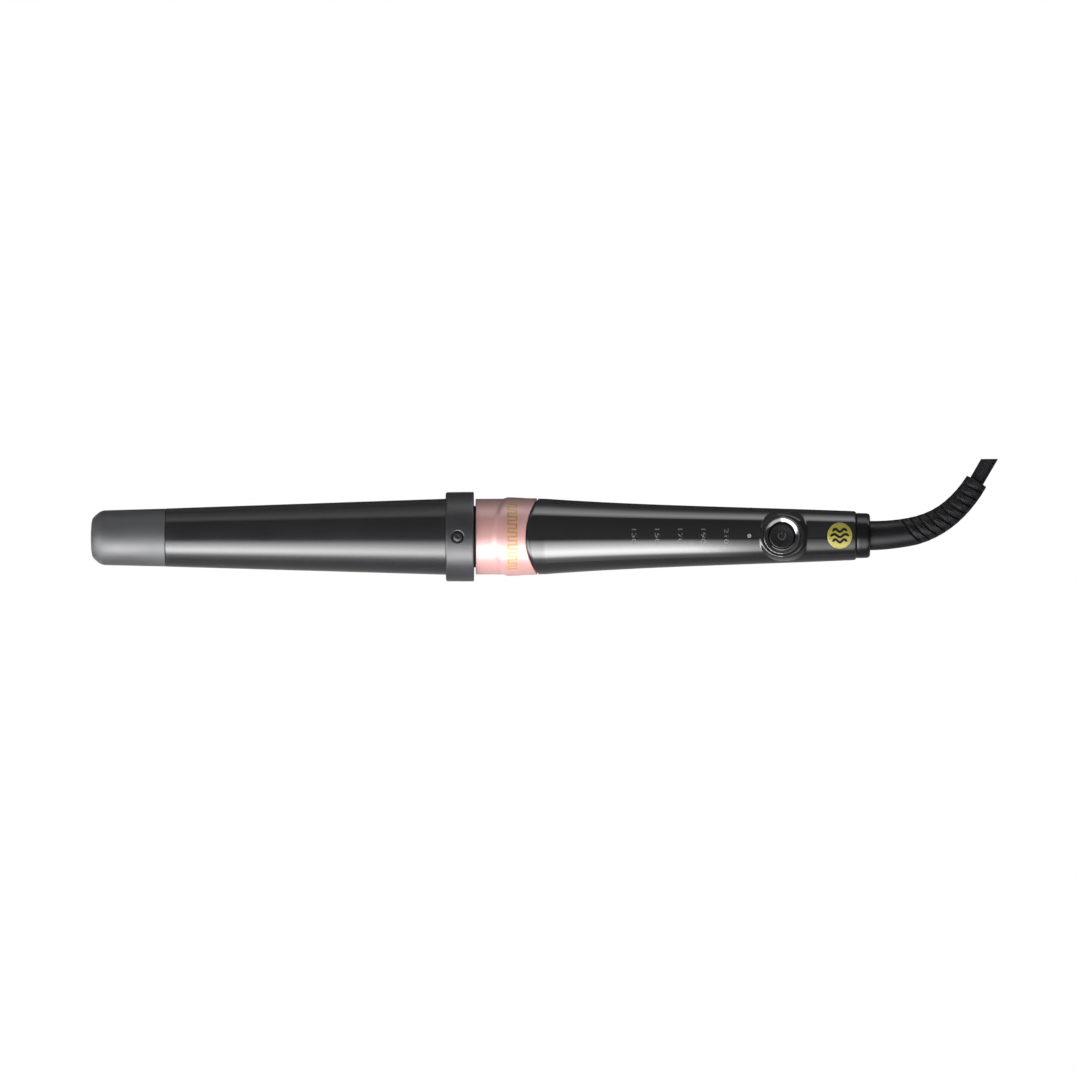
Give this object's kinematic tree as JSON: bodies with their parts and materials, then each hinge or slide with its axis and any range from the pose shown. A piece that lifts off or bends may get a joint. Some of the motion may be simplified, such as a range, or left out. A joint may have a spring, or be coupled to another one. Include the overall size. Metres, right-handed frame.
{
  "type": "curling wand",
  "caption": "Conical clipless curling wand with a cool tip, hanging collar, rose ring, gloss handle with push button and lights, and a swivel cord with ribbed boot.",
  "frame": {"origin": "on the long axis, at the middle of the collar's width", "axes": "-X along the axis to the cool tip, +X to the cord, +Z out of the power button, +Y to the side the cord bends to"},
  "size_m": [0.3938, 0.0525, 0.0388],
  "materials": {
    "tip_plastic": "fine matte, heat-resistant",
    "barrel_coating": "satin ceramic coating",
    "collar_plastic": "semi-matte, heat-resistant",
    "neck_plastic": "matte, heat-resistant",
    "ring_metal": "rose-tinted anodised satin",
    "handle_gloss": "high gloss",
    "end_ring_plastic": "semi-matte",
    "chrome_trim": "bright",
    "button_gloss": "gloss",
    "badge_metal": "satin gilt",
    "lens_plastic": "clear tinted",
    "steel": "zinc-plated",
    "black_screw": "blackened",
    "heater_aluminium": "extruded",
    "ceramic_dark": "fired",
    "ceramic_light": "fired",
    "copper_alloy": "stamped",
    "film": "film",
    "board_green": "solder mask",
    "component_black": "moulded",
    "component_yellow": "moulded",
    "component_blue": "shrink sleeve",
    "led_resin": "resin",
    "plunger_red": "moulded",
    "lead_white": "silicone sleeve",
    "lead_red": "thin sleeve",
    "core_brown": "insulation",
    "core_blue": "insulation",
    "white_nylon": "moulded nylon",
    "cord_rubber": "soft PVC, semi-matte"
  },
  "bodies": {
    "wand": {"tip_cap": "tip_plastic", "tip_plug": "tip_plastic", "tip_screw": "steel", "barrel": "barrel_coating", "front_spacer": "ceramic_light", "heat_spreader_upper": "heater_aluminium", "heat_spreader_lower": "heater_aluminium", "ptc_plates": "ceramic_dark", "electrode_upper": "copper_alloy", "electrode_lower": "copper_alloy", "insulation_film": "film", "spreader_springs": "steel", "rear_spacer": "ceramic_light", "temperature_sensor": "lens_plastic", "thermal_fuse": "steel", "collar": "collar_plastic", "collar_screws": "black_screw", "neck_tube": "neck_plastic", "front_ring": "ring_metal", "handle_upper": "handle_gloss", "handle_lower": "handle_gloss", "handle_screws": "steel", "end_ring": "end_ring_plastic", "main_board": "board_green", "board_screws": "steel", "temperature_leds": "led_resin", "power_led": "led_resin", "temperature_lenses": "lens_plastic", "power_lens": "lens_plastic", "switch_body": "component_black", "button_bezel": "chrome_trim", "badge": "badge_metal", "triac": "component_black", "filter_capacitor": "component_yellow", "smoothing_capacitor": "component_blue", "board_fuse": "ceramic_light", "microcontroller": "component_black", "heater_leads": "lead_white", "sensor_leads": "lead_red", "supply_leads": "core_brown", "swivel_housing_upper": "white_nylon", "swivel_housing_lower": "white_nylon", "brush_contacts": "copper_alloy", "swivel_washer": "steel"},
    "button": {"power_button": "button_gloss"},
    "plunger": {"switch_plunger": "plunger_red"},
    "cord": {"swivel_hub": "white_nylon", "slip_rings": "copper_alloy", "cord_boot": "cord_rubber", "cord_sheath": "cord_rubber", "live_core": "core_brown", "neutral_core": "core_blue", "conductors": "copper_alloy"}
  },
  "joints": [
    {"name": "cord_swivel", "type": "hinge", "parent": "wand", "child": "cord", "pos_m": [0.172, 0, 0], "axis": [1, 0, 0], "continuous": true},
    {"name": "button_press", "type": "slide", "parent": "wand", "child": "button", "axis": [0, 0, -1], "range_m": [0, 0.0005], "stiffness_N_per_m": 200},
    {"name": "plunger_press", "type": "slide", "parent": "wand", "child": "plunger", "axis": [0, 0, -1], "range_m": [0, 0.0005]}
  ],
  "couplings": [
    {"joint": "plunger_press", "follows": "button_press", "ratio": 1}
  ]
}
